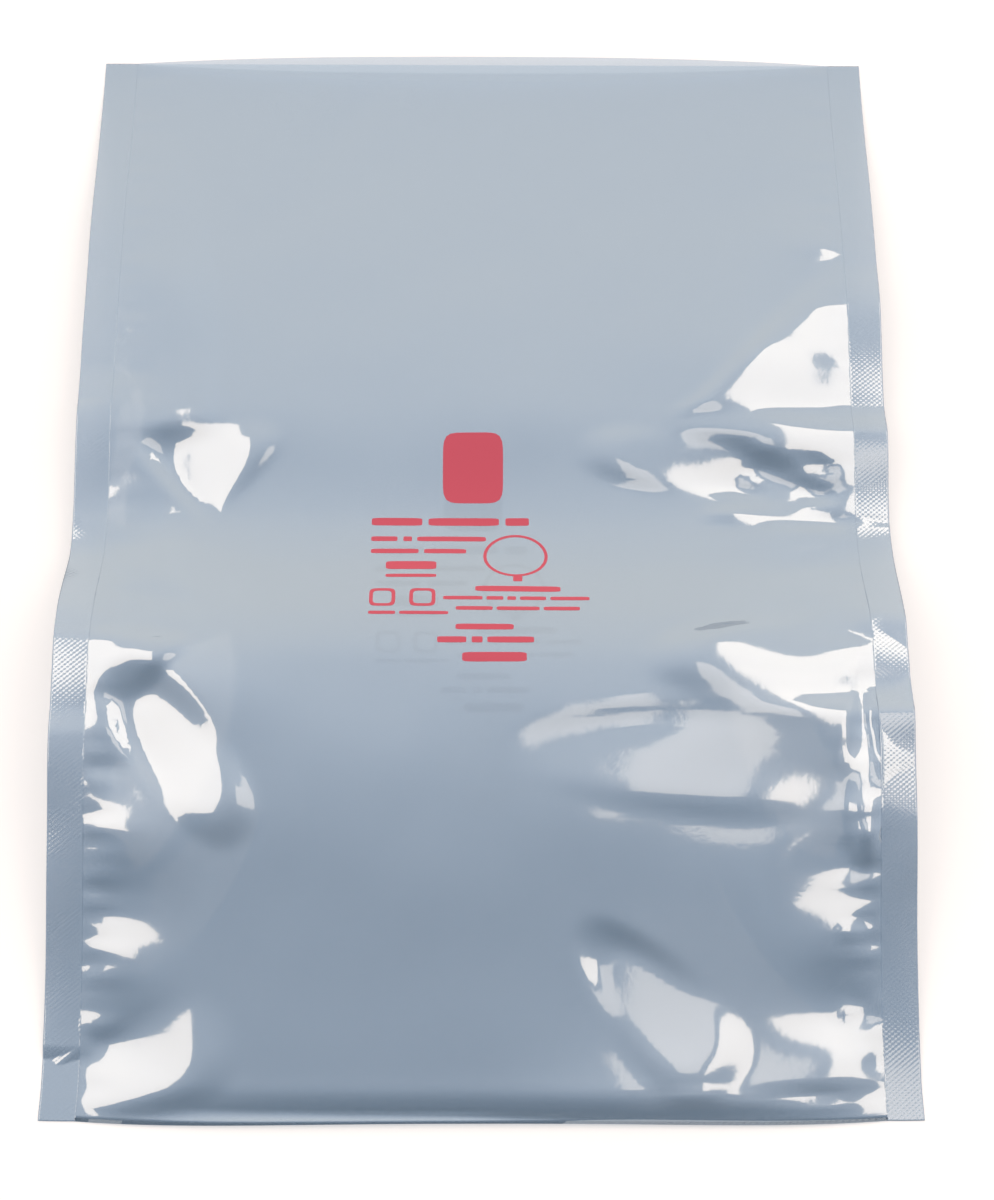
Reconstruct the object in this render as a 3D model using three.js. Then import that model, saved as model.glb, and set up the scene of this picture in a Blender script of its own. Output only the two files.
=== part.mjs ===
// Open-top static shielding bag, lying on its back with its mouth towards +Y.
//
// One sheet of metallised film is folded over at the bottom and heat sealed to itself along
// both sides. It has been folded in half for packing, so it lies in two soft humps with a
// valley between them, and a little air keeps the pocket open. Units are millimetres, +Z up.
import * as THREE from "three";

// The flat bag
const BAG_WIDTH = 254;
const BAG_LENGTH = 356;
const SEAL_WIDTH = 10.5;
const FILM_THICKNESS = 0.08;

// How it lies: stations from the bottom fold, with heights above the table. The humps lie
// a little askew. The belly would hang below the table, so most of it lies flat.
const FOLD_LIFT = 1.6;
const MOUTH_GAPE = 7.2;
const LOWER_CREST = 0.376 * BAG_LENGTH;
const VALLEY = 0.533 * BAG_LENGTH;
const UPPER_CREST = 0.63 * BAG_LENGTH;
const SEAM_LOWER_HEIGHT = 24.5;
const SEAM_VALLEY_HEIGHT = 5.5;
const SEAM_UPPER_HEIGHT = 10.2;
const CROWN_TOE = 12;
const CROWN_TOE_HEIGHT = 7.5;
const CROWN_LOWER_HEIGHT = 27;
const CROWN_VALLEY_HEIGHT = 12.5;
const CROWN_UPPER_HEIGHT = 15;
const BELLY_SINK = 4;
const CREST_SKEW = 2.2;

// How full the two panels are between the seals: a higher power is flatter in the middle
const CROWN_POWER = 2.6;
const BELLY_POWER = 3;
const LEAST_OPEN_SHARE = 0.2;

// The seals droop outwards in soft waves
const SEAL_WAVE_LENGTH = 46;
const SEAL_WAVE_HEIGHT = 0.9;

// Puckers fan out from a seal: side, station, reach in from the seal, width and height
const PUCKERS = [
  [-1, 22, 11, 8, -1.3],
  [-1, 44, 12, 8, 1.2],
  [-1, 62, 9, 7, -1.1],
  [-1, 82, 14, 9, 1.4],
  [-1, 103, 11, 9, -1.6],
  [-1, 128, 22, 12, 1.6],
  [-1, 151, 12, 8, -1.1],
  [-1, 172, 16, 8, 1.2],
  [-1, 203, 28, 12, 2.2],
  [-1, 236, 13, 10, -1],
  [-1, 272, 12, 10, 0.7],
  [1, 16, 13, 8, 1.2],
  [1, 32, 12, 8, -1.3],
  [1, 52, 14, 9, 1.4],
  [1, 76, 10, 9, -1.4],
  [1, 98, 20, 10, -1.8],
  [1, 124, 30, 12, 1.8],
  [1, 150, 14, 9, -1.2],
  [1, 182, 24, 8, 1.3],
  [1, 198, 22, 8, -1.8],
  [1, 214, 26, 9, 1.6],
  [1, 240, 26, 13, 1.5],
  [1, 284, 10, 7, 0.7],
];

// Facets of the mesh
const COLUMNS = 11;
const ROWS = 54;
const COLUMN_GRADING = 1.8;
const ROW_GRADING = 1.2;

const HALF_WIDTH = BAG_WIDTH / 2;
const HALF_POCKET = HALF_WIDTH - SEAL_WIDTH;

const ease = (t) => (1 - Math.cos(Math.PI * t)) / 2;

// The height at a station of a line that is level at each of its own stations. A lag over 1
// delays the change that leads up to its station.
function heightAlong(line, station) {
  const next = Math.max(1, line.findIndex(([at]) => at >= station));
  const [from, low] = line[next - 1];
  const [to, high, lag = 1] = line[next];
  return low + (high - low) * ease(((station - from) / (to - from)) ** lag);
}

const SEAM = [
  [0, FILM_THICKNESS],
  [LOWER_CREST, SEAM_LOWER_HEIGHT, 1.05],
  [VALLEY, SEAM_VALLEY_HEIGHT],
  [UPPER_CREST, SEAM_UPPER_HEIGHT],
  [BAG_LENGTH, FILM_THICKNESS, 1.6],
];
const CROWN = [
  [0, FOLD_LIFT, 1],
  [CROWN_TOE, CROWN_TOE_HEIGHT, 0.6],
  [LOWER_CREST, CROWN_LOWER_HEIGHT, 0.85],
  [VALLEY, CROWN_VALLEY_HEIGHT],
  [UPPER_CREST, CROWN_UPPER_HEIGHT],
  [BAG_LENGTH, MOUTH_GAPE],
];
const BELLY = [
  [0, FOLD_LIFT],
  [CROWN_TOE, -BELLY_SINK],
  [BAG_LENGTH, -BELLY_SINK],
];

// 0 at the bottom fold and the mouth, and 1 half-way between them
const calm = (station) => Math.sin((Math.PI * station) / BAG_LENGTH);

// The middle of a seal, which droops outwards
function seamHeight(across, station) {
  const outside = Math.max(0, Math.abs(across) - HALF_POCKET) / SEAL_WIDTH;
  const wave = Math.sin((Math.PI * station) / SEAL_WAVE_LENGTH + Math.sign(across)) ** 2;
  const droop = SEAL_WAVE_HEIGHT * wave * calm(station) * outside;
  return Math.max(FILM_THICKNESS, heightAlong(SEAM, station) - droop);
}

// The smooth front and back panels, before they pucker
function panelHeights(across, flatStation) {
  const station = flatStation + CREST_SKEW * (across / HALF_WIDTH) * calm(flatStation);
  const share = Math.min(1, Math.abs(across) / HALF_POCKET);
  const seam = seamHeight(across, station);
  const crown = heightAlong(CROWN, station) - seam;
  const belly = seam - heightAlong(BELLY, station);
  const back = Math.max(FILM_THICKNESS, seam - belly * (1 - share ** BELLY_POWER));
  const front = Math.max(back, seam + crown * (1 - share ** CROWN_POWER));
  return { front, back };
}

// What the puckers add to the front panel
function puckerHeight(across, station) {
  const inside = HALF_POCKET - Math.abs(across);
  if (inside <= 0) return 0;
  let height = 0;
  for (const [side, at, reach, width, rise] of PUCKERS) {
    if (side !== Math.sign(across)) continue;
    const swell = (inside / reach) ** 2 * Math.exp(2 * (1 - inside / reach));
    const fan = width * (0.6 + (0.4 * inside) / reach);
    height += rise * swell * Math.exp(-(((station - at) / fan) ** 2));
  }
  return height;
}

function frontHeight(across, station) {
  const { front, back } = panelHeights(across, station);
  const open = front - back;
  return back + Math.max(open * LEAST_OPEN_SHARE, open + puckerHeight(across, station));
}

// Columns crowd towards the seals and rows towards the fold, where the film bends most
function columnPlaces() {
  const right = [];
  for (let i = 0; i <= COLUMNS; i++) {
    right.push(HALF_POCKET * (1 - (i / COLUMNS) ** COLUMN_GRADING));
  }
  right.unshift(HALF_WIDTH);
  const left = right.slice(0, -1).map((across) => -across);
  return [...left, ...right.reverse()];
}

function rowPlaces() {
  const rows = [];
  for (let j = 0; j <= ROWS; j++) rows.push(BAG_LENGTH * (j / ROWS) ** ROW_GRADING);
  return rows;
}

// Film doesn't stretch, so where it climbs or dips it covers less ground. It is measured out
// from the middle to the seals, and from the mouth to the fold.
function groundPlan(columns, rows) {
  const heights = columns.map((across) => {
    return rows.map((station) => panelHeights(across, station).front);
  });
  const ground = (run, rise) => Math.sqrt(Math.max(0, run * run - rise * rise));
  const x = columns.map(() => rows.map(() => 0));
  const y = columns.map(() => rows.map(() => 0));
  const centre = (columns.length - 1) / 2;
  for (let j = rows.length - 1; j >= 0; j--) {
    for (let i = 1; i <= centre; i++) {
      for (const side of [-1, 1]) {
        const [at, inner] = [centre + side * i, centre + side * (i - 1)];
        const run = columns[at] - columns[inner];
        x[at][j] = x[inner][j] + side * ground(run, heights[at][j] - heights[inner][j]);
      }
    }
    if (j === rows.length - 1) continue;
    columns.forEach((_, i) => {
      y[i][j] = y[i][j + 1] - ground(rows[j + 1] - rows[j], heights[i][j + 1] - heights[i][j]);
    });
  }
  return { x, y };
}

// How much higher the film's far face is, for its true thickness on a slope
function standingThickness(height, across, station) {
  const step = 0.5;
  const slopeX = (height(across + step, station) - height(across - step, station)) / (2 * step);
  const low = Math.max(0, station - step);
  const high = Math.min(BAG_LENGTH, station + step);
  const slopeY = (height(across, high) - height(across, low)) / (high - low);
  return FILM_THICKNESS * Math.hypot(1, slopeX, slopeY);
}

// The four faces of the film as grids of vertices, stitched into one closed skin
class Skin {
  constructor() {
    this.positions = [];
    this.faces = [];
  }

  vertex(x, y, z) {
    this.positions.push(x, y, z);
    return this.positions.length / 3 - 1;
  }

  // A strip between two rows of vertices. The near and far faces of the film are cut into
  // triangles along the same diagonals, so that they never pass through each other.
  strip(near, far, turned = false) {
    for (let k = 0; k + 1 < near.length; k++) {
      this.triangle(near[k], near[k + 1], far[k + 1], turned);
      this.triangle(near[k], far[k + 1], far[k], turned);
    }
  }

  triangle(a, b, c, turned = false) {
    if (turned) this.faces.push(a, c, b);
    else this.faces.push(a, b, c);
  }

  geometry() {
    const made = new THREE.BufferGeometry();
    made.setAttribute("position", new THREE.Float32BufferAttribute(this.positions, 3));
    made.setIndex(this.faces);
    return made;
  }
}

function filmGeometry() {
  const columns = columnPlaces();
  const rows = rowPlaces();
  const { x, y } = groundPlan(columns, rows);
  const skin = new Skin();
  const backHeight = (across, station) => panelHeights(across, station).back;
  const isSealed = (i, j) => j === 0 || i <= 1 || i >= columns.length - 2;

  // Each of these holds one row of vertices for each station along the bag
  const faces = { frontOuter: [], frontInner: [], backInner: [], backOuter: [] };
  rows.forEach((station, j) => {
    for (const name in faces) faces[name].push([]);
    columns.forEach((across, i) => {
      const front = frontHeight(across, station);
      const back = backHeight(across, station);
      const put = (name, z) => faces[name][j].push(skin.vertex(x[i][j], y[i][j], z));
      put("frontOuter", front + standingThickness(frontHeight, across, station));
      put("backOuter", back - standingThickness(backHeight, across, station));
      if (isSealed(i, j)) {
        const joined = skin.vertex(x[i][j], y[i][j], (front + back) / 2);
        faces.frontInner[j].push(joined);
        faces.backInner[j].push(joined);
      } else {
        put("frontInner", front);
        put("backInner", back);
      }
    });
  });

  const { frontOuter, frontInner, backInner, backOuter } = faces;
  const pocket = (row) => row.slice(1, -1);
  for (let j = 0; j < rows.length - 1; j++) {
    skin.strip(frontOuter[j], frontOuter[j + 1]);
    skin.strip(pocket(frontInner[j]), pocket(frontInner[j + 1]), true);
    skin.strip(pocket(backInner[j]), pocket(backInner[j + 1]));
    skin.strip(backOuter[j], backOuter[j + 1], true);
    for (const [i, near, far] of [[0, j + 1, j], [columns.length - 1, j, j + 1]]) {
      skin.strip([backOuter[near][i], backOuter[far][i]], [frontOuter[near][i], frontOuter[far][i]]);
    }
  }

  // The fold has a rounded nose, one film thickness beyond the crease inside
  const nose = columns.map((_, i) => {
    const crease = skin.positions[frontInner[0][i] * 3 + 2];
    return skin.vertex(x[i][0], y[i][0] - FILM_THICKNESS, crease);
  });
  skin.strip(nose, frontOuter[0]);
  skin.strip(backOuter[0], nose);
  skin.triangle(backOuter[0][0], nose[0], frontOuter[0][0]);
  const edge = columns.length - 1;
  skin.triangle(frontOuter[0][edge], nose[edge], backOuter[0][edge]);

  // The cut edges of the two lips, and the ends of the seals, which are solid right through
  const mouth = rows.length - 1;
  skin.strip(frontOuter[mouth].slice(1, -1), pocket(frontInner[mouth]));
  skin.strip(pocket(backInner[mouth]), backOuter[mouth].slice(1, -1));
  for (const [outer, inner, turned] of [[0, 1, true], [edge, edge - 1, false]]) {
    const loop = [
      frontOuter[mouth][outer],
      backOuter[mouth][outer],
      backOuter[mouth][inner],
      frontInner[mouth][inner],
      frontOuter[mouth][inner],
    ];
    if (turned) loop.reverse();
    for (let k = 1; k + 1 < loop.length; k++) skin.triangle(loop[0], loop[k], loop[k + 1]);
  }
  return skin.geometry();
}

const film = new THREE.MeshStandardMaterial({
  color: 0xaab6c3,
  metalness: 0.85,
  roughness: 0.16,
});

const bag = new THREE.Mesh(filmGeometry(), film);
bag.name = "film_bag";

// The origin is the middle of the bag's own box, on the table
bag.geometry.computeBoundingBox();
const { min, max } = bag.geometry.boundingBox;
bag.position.set(-(min.x + max.x) / 2, -(min.y + max.y) / 2, -min.z);

const shieldingBag = new THREE.Group();
shieldingBag.add(bag);

export default shieldingBag;
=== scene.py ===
# The look of an open-top static shielding bag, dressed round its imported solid.
import math

import bpy
import numpy as np
from mathutils import Matrix, Vector


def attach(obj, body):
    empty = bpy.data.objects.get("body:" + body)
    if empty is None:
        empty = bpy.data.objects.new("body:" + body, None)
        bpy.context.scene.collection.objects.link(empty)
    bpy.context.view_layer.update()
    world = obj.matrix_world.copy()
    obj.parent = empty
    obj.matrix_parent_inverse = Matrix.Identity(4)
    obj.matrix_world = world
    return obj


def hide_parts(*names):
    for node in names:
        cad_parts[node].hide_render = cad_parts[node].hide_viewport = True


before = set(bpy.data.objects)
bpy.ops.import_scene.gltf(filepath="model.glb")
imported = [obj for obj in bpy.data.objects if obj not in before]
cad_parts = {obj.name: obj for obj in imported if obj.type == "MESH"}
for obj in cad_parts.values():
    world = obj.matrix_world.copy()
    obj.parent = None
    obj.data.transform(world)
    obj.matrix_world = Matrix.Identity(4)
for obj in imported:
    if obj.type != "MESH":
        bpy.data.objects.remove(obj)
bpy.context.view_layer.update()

# The bag lying as the solid does, in millimetres: across it from its middle line, and by
# stations along it from the bottom fold to the mouth. Its lip gapes as it does in the photo,
# which is less than the solid's
MM = 0.001
BAG_WIDTH = 254.0
BAG_LENGTH = 356.0
SEAL_WIDTH = 10.5
FILM_THICKNESS = 0.08
FOLD_LIFT = 1.6
MOUTH_GAPE = 5.0
LOWER_CREST = 0.376 * BAG_LENGTH
VALLEY = 0.533 * BAG_LENGTH
UPPER_CREST = 0.63 * BAG_LENGTH
SEAM_LOWER_HEIGHT = 24.5
SEAM_VALLEY_HEIGHT = 5.5
SEAM_UPPER_HEIGHT = 10.2
CROWN_TOE = 12.0
CROWN_TOE_HEIGHT = 7.5
CROWN_LOWER_HEIGHT = 27.0
CROWN_VALLEY_HEIGHT = 12.5
CROWN_UPPER_HEIGHT = 15.0
BELLY_SINK = 4.0
CREST_SKEW = 2.2
CROWN_POWER = 2.6
BELLY_POWER = 3.0
SEAL_WAVE_LENGTH = 46.0
SEAL_WAVE_HEIGHT = 0.9
HALF_WIDTH = BAG_WIDTH / 2
HALF_POCKET = HALF_WIDTH - SEAL_WIDTH

# Lines along the bag: (station, height, lag), level at each station. They are the seals, and
# the middle of the front panel and of the back panel
SEAM = [
    (0, FILM_THICKNESS),
    (LOWER_CREST, SEAM_LOWER_HEIGHT, 1.05),
    (VALLEY, SEAM_VALLEY_HEIGHT),
    (UPPER_CREST, SEAM_UPPER_HEIGHT),
    (BAG_LENGTH, FILM_THICKNESS, 1.6),
]
CROWN = [
    (0, FOLD_LIFT),
    (CROWN_TOE, CROWN_TOE_HEIGHT, 0.6),
    (LOWER_CREST, CROWN_LOWER_HEIGHT, 0.85),
    (VALLEY, CROWN_VALLEY_HEIGHT),
    (UPPER_CREST, CROWN_UPPER_HEIGHT),
    (BAG_LENGTH, MOUTH_GAPE),
]
BELLY = [(0, FOLD_LIFT), (CROWN_TOE, -BELLY_SINK), (BAG_LENGTH, -BELLY_SINK)]


def height_along(line, station):
    height = np.full(np.shape(station), float(line[0][1]))
    for (start, low, *_), (end, high, *lag) in zip(line, line[1:]):
        t = np.clip((station - start) / (end - start), 0, 1) ** (lag[0] if lag else 1)
        height = np.where(station > start, low + (high - low) * (1 - np.cos(np.pi * t)) / 2, height)
    return height


def calm(station):
    return np.sin(np.pi * np.clip(station, 0, BAG_LENGTH) / BAG_LENGTH)


def seam_height(across, station):
    outside = np.clip(np.abs(across) - HALF_POCKET, 0, None) / SEAL_WIDTH
    wave = np.sin(np.pi * station / SEAL_WAVE_LENGTH + np.sign(across)) ** 2
    droop = SEAL_WAVE_HEIGHT * wave * calm(station) * outside
    return np.maximum(FILM_THICKNESS, height_along(SEAM, station) - droop)


def panel_heights(across, flat_station):
    station = flat_station + CREST_SKEW * across / HALF_WIDTH * calm(flat_station)
    share = np.minimum(1, np.abs(across) / HALF_POCKET)
    seam = seam_height(across, station)
    crown = height_along(CROWN, station) - seam
    belly = seam - height_along(BELLY, station)
    back = np.maximum(FILM_THICKNESS, seam - belly * (1 - share ** BELLY_POWER))
    front = np.maximum(back, seam + crown * (1 - share ** CROWN_POWER))
    return front, back


# Where each point of the flat bag lies on the table: a plan of square cells, read to just
# short of its far edges
PLAN_STEP = 1.0
PLAN_MARGIN = 0.001
PLAN_ACROSS = np.linspace(-HALF_WIDTH, HALF_WIDTH, int(BAG_WIDTH / PLAN_STEP) + 1)
PLAN_STATION = np.linspace(0, BAG_LENGTH, int(BAG_LENGTH / PLAN_STEP) + 1)


def ground_plan():
    across, station = np.meshgrid(PLAN_ACROSS, PLAN_STATION, indexing="ij")
    height = panel_heights(across, station)[0]
    run = np.diff(PLAN_ACROSS)[:, None]
    step = np.sqrt(np.maximum(0, run ** 2 - np.diff(height, axis=0) ** 2))
    x = np.vstack([np.zeros((1, len(PLAN_STATION))), np.cumsum(step, axis=0)])
    x -= x[len(PLAN_ACROSS) // 2]
    run = np.diff(PLAN_STATION)[None]
    step = np.sqrt(np.maximum(0, run ** 2 - np.diff(height, axis=1) ** 2))
    y = np.hstack([np.zeros((len(PLAN_ACROSS), 1)), np.cumsum(step, axis=1)])
    y -= y[:, -1:]
    return x, y - (y.min() - FILM_THICKNESS) / 2


PLAN_X, PLAN_Y = ground_plan()


def on_plan(table, across, station):
    i = np.clip((across + HALF_WIDTH) / PLAN_STEP, 0, len(PLAN_ACROSS) - 1 - PLAN_MARGIN)
    j = np.clip(station / PLAN_STEP, 0, len(PLAN_STATION) - 1 - PLAN_MARGIN)
    i0, j0 = i.astype(int), j.astype(int)
    u, v = i - i0, j - j0
    low = table[i0, j0] * (1 - u) + table[i0 + 1, j0] * u
    high = table[i0, j0 + 1] * (1 - u) + table[i0 + 1, j0 + 1] * u
    return low * (1 - v) + high * v


# Puckers that fan out from a seal: side, station, reach in from the seal, width, height. At
# the seal a pucker has the first share of its width, and it gains the second by its reach
FAN_START = 0.6
FAN_GROWTH = 0.4
FRONT_PUCKERS = [
    (-1, 22, 11, 8, -1.3),
    (-1, 44, 12, 8, 1.2),
    (-1, 62, 9, 7, -1.1),
    (-1, 82, 14, 9, 1.4),
    (-1, 103, 11, 9, -1.6),
    (-1, 128, 22, 12, 1.6),
    (-1, 151, 12, 8, -1.1),
    (-1, 172, 16, 8, 1.2),
    (-1, 203, 28, 12, 0.6),
    (-1, 236, 13, 10, -0.5),
    (-1, 272, 12, 10, 0.7),
    (1, 16, 13, 8, 1.2),
    (1, 32, 12, 8, -1.3),
    (1, 52, 14, 9, 1.4),
    (1, 76, 10, 9, -1.4),
    (1, 98, 20, 10, -1.8),
    (1, 124, 30, 12, 1.8),
    (1, 150, 14, 9, -1.2),
    (1, 182, 24, 8, 1.3),
    (1, 198, 22, 8, -1.8),
    (1, 214, 26, 9, 1.6),
    (1, 240, 26, 13, 1.5),
    (1, 284, 10, 7, 0.7),
]


def pucker_height(puckers, across, station):
    height = np.zeros(np.shape(across))
    inside = HALF_POCKET - np.abs(across)
    for side, at, reach, width, rise in puckers:
        share = np.clip(inside / reach, 0, None)
        swell = share ** 2 * np.exp(2 * (1 - share))
        fan = width * (FAN_START + FAN_GROWTH * share)
        bump = rise * swell * np.exp(-(((station - at) / fan) ** 2))
        height += np.where(np.sign(across) == side, bump, 0)
    return height


# Facets of the front film that lean towards or away from the light: across, station, half
# length, half width, angle of the length, taper, outward lean, lean to the mouth, lift
FRONT_FACETS = [
    (-118, 207, 26, 22, 90, 0.0, -0.08, 0.0, 1.6),
    (-85, 202, 15, 13, 90, 0.85, 0.18, 0.02, -0.8),
    (-114, 131, 24, 12, 18, -0.6, 0.10, -0.06, 0.0),
    (-89, 107, 26, 11, -52, 0.0, 0.13, 0.10, -1.2),
    (-104, 14, 28, 11, 24, 0.5, 0.08, 0.06, 0.0),
    (98, 237, 36, 16, 22, 0.9, 0.10, -0.12, 0.0),
    (64, 206, 28, 9, -6, 0.0, 0.09, 0.02, -0.4),
    (95, 199, 14, 2.5, -10, 0.0, 0.12, 0.10, 0.0),
    (97, 208, 13, 2, -14, 0.0, 0.12, 0.10, 0.0),
    (92, 189, 21, 3, 0, 0.0, 0.08, -0.20, 0.0),
    (92, 135, 36, 13, 0, 0.2, 0.12, -0.12, -0.8),
    (58, 106, 42, 14, -3, 0.2, -0.01, 0.09, 0.0),
    (50, 34, 26, 12, -48, 0.3, -0.02, 0.10, 0.0),
    (112, 98, 22, 4, 90, 0.0, 0.14, 0.18, 0.0),
    (109, 55, 5, 3, 8, 0.0, 0.10, 0.15, 0.0),
    (109, 32, 5, 3, 10, 0.0, 0.10, 0.15, 0.0),
    (78, 8, 24, 2.5, 0, 0.0, 0.05, 0.12, 0.0),
]
# Shallow dents: across, station, half length, half width, angle of the length, depth
FRONT_DENTS = [
    (-34, -4, 58, 21, 0, 4.0),
    (88, 300, 22, 12, 20, 0.5),
    (-44, 330, 30, 7, 55, 0.3),
    (-60, 296, 36, 9, 28, 0.25),
    (14, 280, 60, 12, 24, 0.3),
    (-98, 172, 16, 4, -20, 0.3),
    (-99, 157, 16, 4, -14, 0.3),
    (100, 171, 16, 4, 10, 0.3),
]
# The soft share of a facet's rim, and how square its outline is
FACET_EDGE = 0.30
FACET_SQUARENESS = 2.5
# How far the seal's shape reaches into the back panel
SEAM_FADE = 7.0

# Lengths of seal that lean outward: side, station, half length, lean
SEAL_LEANS = [
    (-1, 327, 6, 0.10),
    (-1, 238, 12, 0.12),
    (-1, 124, 20, 0.12),
    (-1, 14, 12, 0.10),
    (1, 237, 28, 0.13),
    (1, 197, 8, 0.12),
    (1, 126, 18, 0.12),
    (1, 84, 16, 0.08),
]

# Small ripples along the seals, highest at one station and calmer away from it
RIPPLE_LENGTHS = (11.3, 7.1)
RIPPLE_TURN = 1.3
RIPPLE_HEIGHT = 0.22
RIPPLE_REACH = 3.5
RIPPLE_STATION = 75
RIPPLE_SPREAD = 60
RIPPLE_CALM = 0.35

# Slack of the film away from the seals: length of a wave, its height, and its angle, which
# also shifts the wave along itself
SLACK_WAVES = [(61, 0.16, 37), (43, 0.10, 118), (31, 0.05, 71), (23, 0.028, 152), (17, 0.016, 14)]


def facet_height(facets, across, station):
    height = np.zeros(np.shape(across))
    for x, y, length, width, angle, taper, out, up, lift in facets:
        dx, dy = across - x, station - y
        c, s = math.cos(math.radians(angle)), math.sin(math.radians(angle))
        along = (dx * c + dy * s) / length
        over = (dy * c - dx * s) / (width * (1 + taper * np.clip(along, -1, 1)))
        far = np.abs(along) ** FACET_SQUARENESS + np.abs(over) ** FACET_SQUARENESS
        far = far ** (1 / FACET_SQUARENESS)
        share = np.clip((1 + FACET_EDGE - far) / (2 * FACET_EDGE), 0, 1)
        lean = lift - out * math.copysign(1, x) * dx - up * dy
        height += lean * share * share * (3 - 2 * share)
    return height


def dent_height(dents, across, station):
    height = np.zeros(np.shape(across))
    for x, y, length, width, angle, depth in dents:
        dx, dy = across - x, station - y
        c, s = math.cos(math.radians(angle)), math.sin(math.radians(angle))
        along, over = (dx * c + dy * s) / length, (dy * c - dx * s) / width
        height -= depth * np.exp(-(along ** 4) - over ** 2)
    return height


def seam_ripple(across, station):
    inside = np.maximum(0, HALF_POCKET - np.abs(across))
    turn = np.copysign(RIPPLE_TURN, across)
    wave = np.sin(2 * np.pi * station / RIPPLE_LENGTHS[0] + turn)
    wave += np.sin(2 * np.pi * station / RIPPLE_LENGTHS[1] - 2 * turn)
    share = inside / RIPPLE_REACH
    inner = share * np.exp(1 - share)
    near = np.exp(-(((station - RIPPLE_STATION) / RIPPLE_SPREAD) ** 2))
    slack = RIPPLE_CALM + (1 - RIPPLE_CALM) * near
    return RIPPLE_HEIGHT * slack * wave * inner


def slack_waves(across, station):
    height = np.zeros(np.shape(across))
    for length, rise, angle in SLACK_WAVES:
        run = across * math.cos(math.radians(angle)) + station * math.sin(math.radians(angle))
        height += rise * np.sin(2 * np.pi * run / length + angle)
    return height * calm(station)


def seal_lean(across, station):
    out = np.maximum(0, np.abs(across) - HALF_POCKET)
    height = np.zeros(np.shape(across))
    for side, at, half_length, lean in SEAL_LEANS:
        window = np.exp(-(((station - at) / half_length) ** 4))
        height -= np.where(np.sign(across) == side, lean * out * window, 0)
    return height


def relief(across, station):
    puckers = pucker_height(FRONT_PUCKERS, across, station) + seal_lean(across, station)
    facets = facet_height(FRONT_FACETS, across, station)
    facets += dent_height(FRONT_DENTS, across, station)
    ripples = seam_ripple(across, station) + slack_waves(across, station)
    return puckers + facets + ripples


def front_height(across, station):
    front = panel_heights(across, station)[0]
    return np.maximum(back_height(across, station), front + relief(across, station))


def back_height(across, station):
    back = panel_heights(across, station)[1]
    seam = np.clip(across, -HALF_POCKET, HALF_POCKET)
    pull = np.exp(-(HALF_POCKET - np.minimum(HALF_POCKET, np.abs(across))) / SEAM_FADE)
    return np.maximum(FILM_THICKNESS, back + relief(seam, station) * pull)


def place(across, station, height):
    x = on_plan(PLAN_X, across, station)
    y = on_plan(PLAN_Y, across, station)
    return np.stack([x, y, height], axis=-1) * MM


def grid_faces(near, turned=False):
    a, b = near[:-1, :-1].ravel(), near[1:, :-1].ravel()
    c, d = near[1:, 1:].ravel(), near[:-1, 1:].ravel()
    quads = np.stack([a, b, c, d], axis=1)
    return quads[:, ::-1] if turned else quads


def mesh_piece(name, points, faces, material):
    mesh = bpy.data.meshes.new(name)
    mesh.from_pydata(points.tolist(), [], [list(map(int, f)) for f in faces])
    mesh.validate()
    mesh.polygons.foreach_set("use_smooth", [True] * len(mesh.polygons))
    mesh.materials.append(material)
    piece = bpy.data.objects.new(name, mesh)
    bpy.context.collection.objects.link(piece)
    return piece


# Materials
def principled(name, **values):
    material = bpy.data.materials.new(name)
    material.use_nodes = True
    shader = material.node_tree.nodes["Principled BSDF"]
    for socket, value in values.items():
        shader.inputs[socket.replace("_", " ")].default_value = value
    return material, shader


# The film is metallised but lets some light through, and has a very fine orange peel
FILM_COLOR = (0.45, 0.565, 0.69, 1)
FILM_METALLIC = 0.95
FILM_ROUGHNESS = 0.075
FILM_ALPHA = 0.72
PEEL_SCALE = 420
PEEL_DETAIL = 3
PEEL_STRENGTH = 0.25
PEEL_DEPTH = 0.00006


def film_material():
    material, shader = principled(
        "film", Base_Color=FILM_COLOR, Metallic=FILM_METALLIC, Roughness=FILM_ROUGHNESS,
        Alpha=FILM_ALPHA,
    )
    nodes, links = material.node_tree.nodes, material.node_tree.links
    where = nodes.new("ShaderNodeTexCoord")
    peel = nodes.new("ShaderNodeTexNoise")
    peel.inputs["Scale"].default_value = PEEL_SCALE
    peel.inputs["Detail"].default_value = PEEL_DETAIL
    links.new(where.outputs["Object"], peel.inputs["Vector"])
    bump = nodes.new("ShaderNodeBump")
    bump.inputs["Strength"].default_value = PEEL_STRENGTH
    bump.inputs["Distance"].default_value = PEEL_DEPTH
    links.new(peel.outputs["Fac"], bump.inputs["Height"])
    links.new(bump.outputs["Normal"], shader.inputs["Normal"])
    return material


FILM = film_material()

# The film: one skin, from the front lip round the fold to the back lip
COLUMN_STEP = 1.9
ROW_STEP = 1.9


def film_skin():
    columns = np.linspace(-HALF_POCKET, HALF_POCKET, 2 * int(HALF_POCKET / COLUMN_STEP) + 1)
    rows = np.linspace(0, BAG_LENGTH, int(BAG_LENGTH / ROW_STEP) + 1)
    across, station = np.meshgrid(columns, rows, indexing="ij")
    front = place(across, station, front_height(across, station) + FILM_THICKNESS)
    back = place(across, station, back_height(across, station) - FILM_THICKNESS)
    count = across.size
    index = np.arange(count).reshape(across.shape)
    back_index = index + count
    back_index[:, 0] = index[:, 0]
    points = np.concatenate([front.reshape(-1, 3), back.reshape(-1, 3)])
    faces = np.concatenate([grid_faces(index), grid_faces(back_index, turned=True)])
    return points, faces


film = mesh_piece("film", *film_skin(), FILM)
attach(film, "root")
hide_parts("film_bag")


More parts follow.
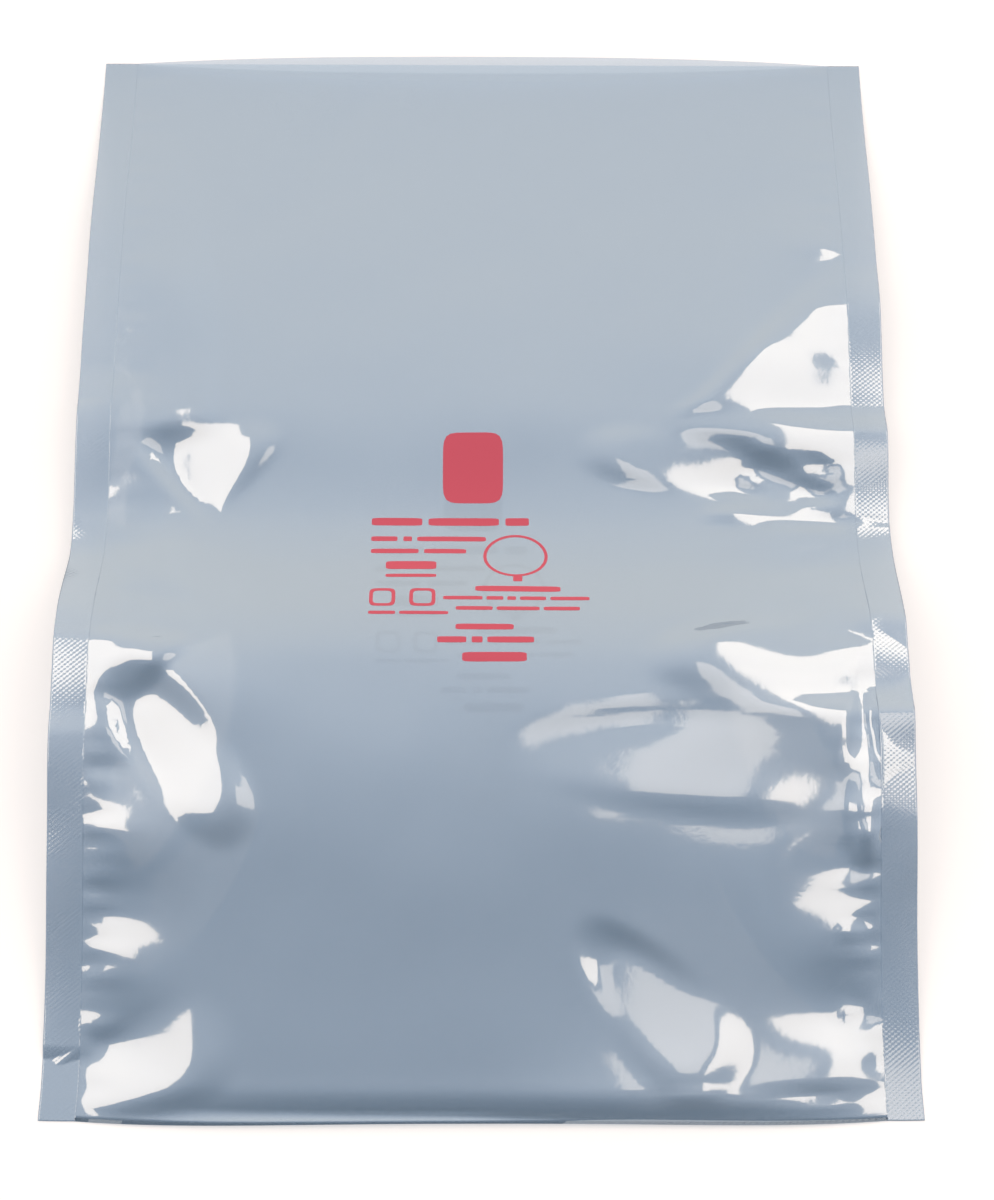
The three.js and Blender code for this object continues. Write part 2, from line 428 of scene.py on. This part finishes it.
# The seals: a fine mesh that overlaps the skin a little and carries the knurl
SEAL_OVERLAP = 0.3
SEAL_COLUMNS = 25
SEAL_ROWS = 1001
KNURL_HEIGHT = 0.05
KNURL_ACROSS = 1.76
KNURL_ALONG = 1.42


def seal_strip(name, side):
    columns = np.linspace(HALF_POCKET - SEAL_OVERLAP, HALF_WIDTH, SEAL_COLUMNS) * side
    rows = np.linspace(0, BAG_LENGTH, SEAL_ROWS)
    across, station = np.meshgrid(columns, rows, indexing="ij")
    height = front_height(across, station)
    out = np.abs(across) - HALF_POCKET
    knurl = KNURL_HEIGHT * np.cos(2 * np.pi * out / KNURL_ACROSS)
    knurl *= np.cos(2 * np.pi * station / KNURL_ALONG)
    knurl *= np.clip((out + SEAL_OVERLAP) / (2 * SEAL_OVERLAP), 0, 1)
    top = place(across, station, height + FILM_THICKNESS + knurl)
    bottom = place(across, station, np.maximum(0, height - FILM_THICKNESS + knurl))
    index = np.arange(across.size).reshape(across.shape)
    below = index + across.size
    points = np.concatenate([top.reshape(-1, 3), bottom.reshape(-1, 3)])
    turned = side < 0
    faces = [grid_faces(index, turned), grid_faces(below, not turned)]
    rim = np.concatenate([index[:, 0], index[-1, 1:], index[::-1, -1][1:], index[0, ::-1][1:-1]])
    low = rim + across.size
    quads = np.stack([rim, low, np.roll(low, -1), np.roll(rim, -1)], axis=1)
    faces.append(quads[:, ::-1] if turned else quads)
    return mesh_piece(name, points, np.concatenate(faces), FILM)


seals = [seal_strip("seal_left", -1), seal_strip("seal_right", 1)]
for seal in seals:
    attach(seal, "root")

# The print: plain blocks, bars and rings of red on the front film, each one an outline round
# a middle: across, station, half width, half height, squareness and the share left open
PRINT_LIFT = 0.03
INK_COLOR = (0.60, 0.07, 0.12, 1)
INK_ROUGHNESS = 0.35
INK = principled("ink", Base_Color=INK_COLOR, Metallic=0.0, Roughness=INK_ROUGHNESS)[0]
PRINT_SHAPES = [
    (-3.0, 203.6, 9.3, 11.4, 6, 0.0),
    (10.0, 173.5, 9.8, 8.0, 2, 0.90),
    (-30.0, 156.8, 3.9, 3.5, 5, 0.72),
    (-18.0, 156.8, 3.9, 3.5, 5, 0.72),
]
# Rows of bars: station, bar height, then the left and right end of each bar
PRINT_ROWS = [
    (186.0, 2.6, (-34, -18.5), (-16.6, 5.0), (7.0, 14.2)),
    (180.0, 1.7, (-34, -26), (-24.2, -21.6), (-20, 1.0)),
    (175.4, 1.7, (-34, -19.5), (-17.8, -5.0)),
    (169.8, 3.2, (-29.3, -14)),
    (165.6, 1.3, (-29.3, -14)),
    (164.6, 2.2, (9.2, 12.0)),
    (160.4, 2.2, (-2.2, 23.4)),
    (156.6, 1.4, (-11.8, 0), (1.2, 6.2), (7.4, 10), (11.2, 19), (20.3, 32)),
    (152.6, 1.4, (-8.0, 3), (4.2, 17), (18.2, 29)),
    (150.8, 1.2, (-34, -26), (-24.8, -10.2)),
    (145.8, 2.0, (-8, 9.2)),
    (141.4, 2.0, (-13.4, -4.8), (-3.2, 0), (1.4, 15.2)),
    (135.8, 3.0, (-6, 13)),
]
BAR_SQUARENESS = 8
# A shape's mesh: points round it, the least number of rings, the width of a ring, and the
# share of its size where a filled shape's middle face starts
BLOT_TURNS = 48
BLOT_RINGS = 3
BLOT_RING_WIDTH = 2
BLOT_MIDDLE = 0.02


def blot(across, station, half_width, half_height, squareness, open_share):
    turns = np.linspace(0, 2 * np.pi, BLOT_TURNS + 1)[:-1]
    reach = np.abs(np.cos(turns)) ** squareness + np.abs(np.sin(turns)) ** squareness
    reach = reach ** (-1 / squareness)
    ring_count = BLOT_RINGS + int(max(half_width, half_height) / BLOT_RING_WIDTH)
    rings = np.linspace(open_share, 1, ring_count)
    if not open_share:
        rings[0] = BLOT_MIDDLE
    share, turn = np.meshgrid(rings, turns, indexing="ij")
    x = across + half_width * share * reach * np.cos(turn)
    y = station + half_height * share * reach * np.sin(turn)
    points = place(x, y, front_height(x, y) + FILM_THICKNESS + PRINT_LIFT).reshape(-1, 3)
    index = np.arange(x.size).reshape(x.shape)
    index = np.concatenate([index, index[:, :1]], axis=1)
    faces = [list(f) for f in grid_faces(index)]
    if not open_share:
        faces.append([int(i) for i in index[0, :-1]])
    return points, faces


def print_mesh():
    shapes = list(PRINT_SHAPES)
    for station, height, *bars in PRINT_ROWS:
        for left, right in bars:
            middle, half = (left + right) / 2, (right - left) / 2
            shapes.append((middle, station, half, height / 2, BAR_SQUARENESS, 0.0))
    points, faces = [], []
    for shape in shapes:
        spots, quads = blot(*shape)
        start = sum(len(p) for p in points)
        points.append(spots)
        faces += [[i + start for i in f] for f in quads]
    return np.concatenate(points), faces


ink = mesh_piece("print", *print_mesh(), INK)
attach(ink, "root")

# The table: a pale floor, a little brighter to the camera than to the film
FLOOR_SIZE = 4.0
FLOOR_DROP = 0.0002
FLOOR_COLOR = (0.8, 0.8, 0.8, 1)
FLOOR_ROUGHNESS = 0.9
FLOOR_GLOW = (0.35, 0.35, 0.35, 1)


def table():
    material, shader = principled("floor", Base_Color=FLOOR_COLOR, Roughness=FLOOR_ROUGHNESS)
    nodes, links = material.node_tree.nodes, material.node_tree.links
    path = nodes.new("ShaderNodeLightPath")
    links.new(path.outputs["Is Camera Ray"], shader.inputs["Emission Strength"])
    shader.inputs["Emission Color"].default_value = FLOOR_GLOW
    half = FLOOR_SIZE / 2
    corners = [(-half, -half, 0), (half, -half, 0), (half, half, 0), (-half, half, 0)]
    mesh = bpy.data.meshes.new("floor")
    mesh.from_pydata(corners, [], [(0, 1, 2, 3)])
    mesh.materials.append(material)
    plane = bpy.data.objects.new("floor", mesh)
    plane.location.z = -FLOOR_DROP
    bpy.context.collection.objects.link(plane)
    return plane


floor = table()

# The sky that the film mirrors, from the camera's side to the far side, and the white
# backdrop that the camera sees in its place: (share of the way, colour)
SKY_STRENGTH = 1.6
SKY_STOPS = [
    (0.05, (0.13, 0.16, 0.19, 1)),
    (0.30, (0.29, 0.315, 0.345, 1)),
    (0.60, (0.67, 0.635, 0.63, 1)),
    (0.92, (0.80, 0.70, 0.62, 1)),
]
BACKDROP_COLOR = (1, 1, 1, 1)
BACKDROP_STRENGTH = 1.0


def sky_ramp(nodes, links):
    direction = nodes.new("ShaderNodeTexCoord")
    split = nodes.new("ShaderNodeSeparateXYZ")
    links.new(direction.outputs["Generated"], split.inputs["Vector"])
    remap = nodes.new("ShaderNodeMapRange")
    remap.inputs["From Min"].default_value = -1.0
    remap.inputs["From Max"].default_value = 1.0
    links.new(split.outputs["Y"], remap.inputs["Value"])
    ramp = nodes.new("ShaderNodeValToRGB")
    links.new(remap.outputs["Result"], ramp.inputs["Fac"])
    ramp.color_ramp.interpolation = "B_SPLINE"
    stops = ramp.color_ramp.elements
    for stop, (position, color) in zip(stops, (SKY_STOPS[0], SKY_STOPS[-1])):
        stop.position, stop.color = position, color
    for position, color in SKY_STOPS[1:-1]:
        stops.new(position).color = color
    return ramp.outputs["Color"]


def studio():
    world = bpy.data.worlds.new("studio")
    world.use_nodes = True
    nodes, links = world.node_tree.nodes, world.node_tree.links
    sky = nodes["Background"]
    links.new(sky_ramp(nodes, links), sky.inputs["Color"])
    sky.inputs["Strength"].default_value = SKY_STRENGTH
    backdrop = nodes.new("ShaderNodeBackground")
    backdrop.inputs["Color"].default_value = BACKDROP_COLOR
    backdrop.inputs["Strength"].default_value = BACKDROP_STRENGTH
    path = nodes.new("ShaderNodeLightPath")
    seen = nodes.new("ShaderNodeMixShader")
    links.new(path.outputs["Is Camera Ray"], seen.inputs["Fac"])
    links.new(sky.outputs["Background"], seen.inputs[1])
    links.new(backdrop.outputs["Background"], seen.inputs[2])
    links.new(seen.outputs["Shader"], nodes["World Output"].inputs["Surface"])
    return world


bpy.context.scene.world = studio()

# The lamps: warm panels that face straight down: name, place across and along, width, length
# and radiance
LAMP_HEIGHT = 1.1
LAMP_COLOR = (1.0, 0.68, 0.45)
LAMPS = [
    ("softbox_left", -0.74, 0.08, 0.50, 0.86, 1.65),
    ("softbox_right", 0.74, 0.20, 0.50, 1.10, 1.65),
    ("panel_right", 0.26, -0.09, 0.28, 0.38, 0.75),
]


def panel_lamp(name, x, y, width, length, radiance):
    data = bpy.data.lights.new(name, "AREA")
    data.shape = "RECTANGLE"
    data.size, data.size_y = width, length
    data.energy = radiance * math.pi * width * length
    data.color = LAMP_COLOR
    lamp = bpy.data.objects.new(name, data)
    lamp.location = (x, y, LAMP_HEIGHT)
    lamp.rotation_euler = Vector((0, 0, -1)).to_track_quat("-Z", "Y").to_euler()
    bpy.context.collection.objects.link(lamp)


for lamp in LAMPS:
    panel_lamp(*lamp)

# The photograph's camera
FOCAL_PX = 2200.0
FRAME_HEIGHT_PX = 1200.0
SENSOR_WIDTH = 36.0
CLIP_START = 0.01
CAMERA_PLACE = (-0.0009, -0.2343, 0.6445)
PITCH, YAW, ROLL = math.radians(18.742), math.radians(1.413), math.radians(1.421)
camera_data = bpy.data.cameras.new("camera")
camera_data.sensor_width = SENSOR_WIDTH
camera_data.lens = SENSOR_WIDTH * FOCAL_PX / FRAME_HEIGHT_PX
camera_data.clip_start = CLIP_START
camera = bpy.data.objects.new("camera", camera_data)
camera.matrix_world = (
    Matrix.Translation(CAMERA_PLACE)
    @ Matrix.Rotation(-YAW, 4, "Z")
    @ Matrix.Rotation(PITCH, 4, "X")
    @ Matrix.Rotation(ROLL, 4, "Z")
)
bpy.context.collection.objects.link(camera)
bpy.context.scene.camera = camera
bpy.context.scene.view_settings.view_transform = "Standard"
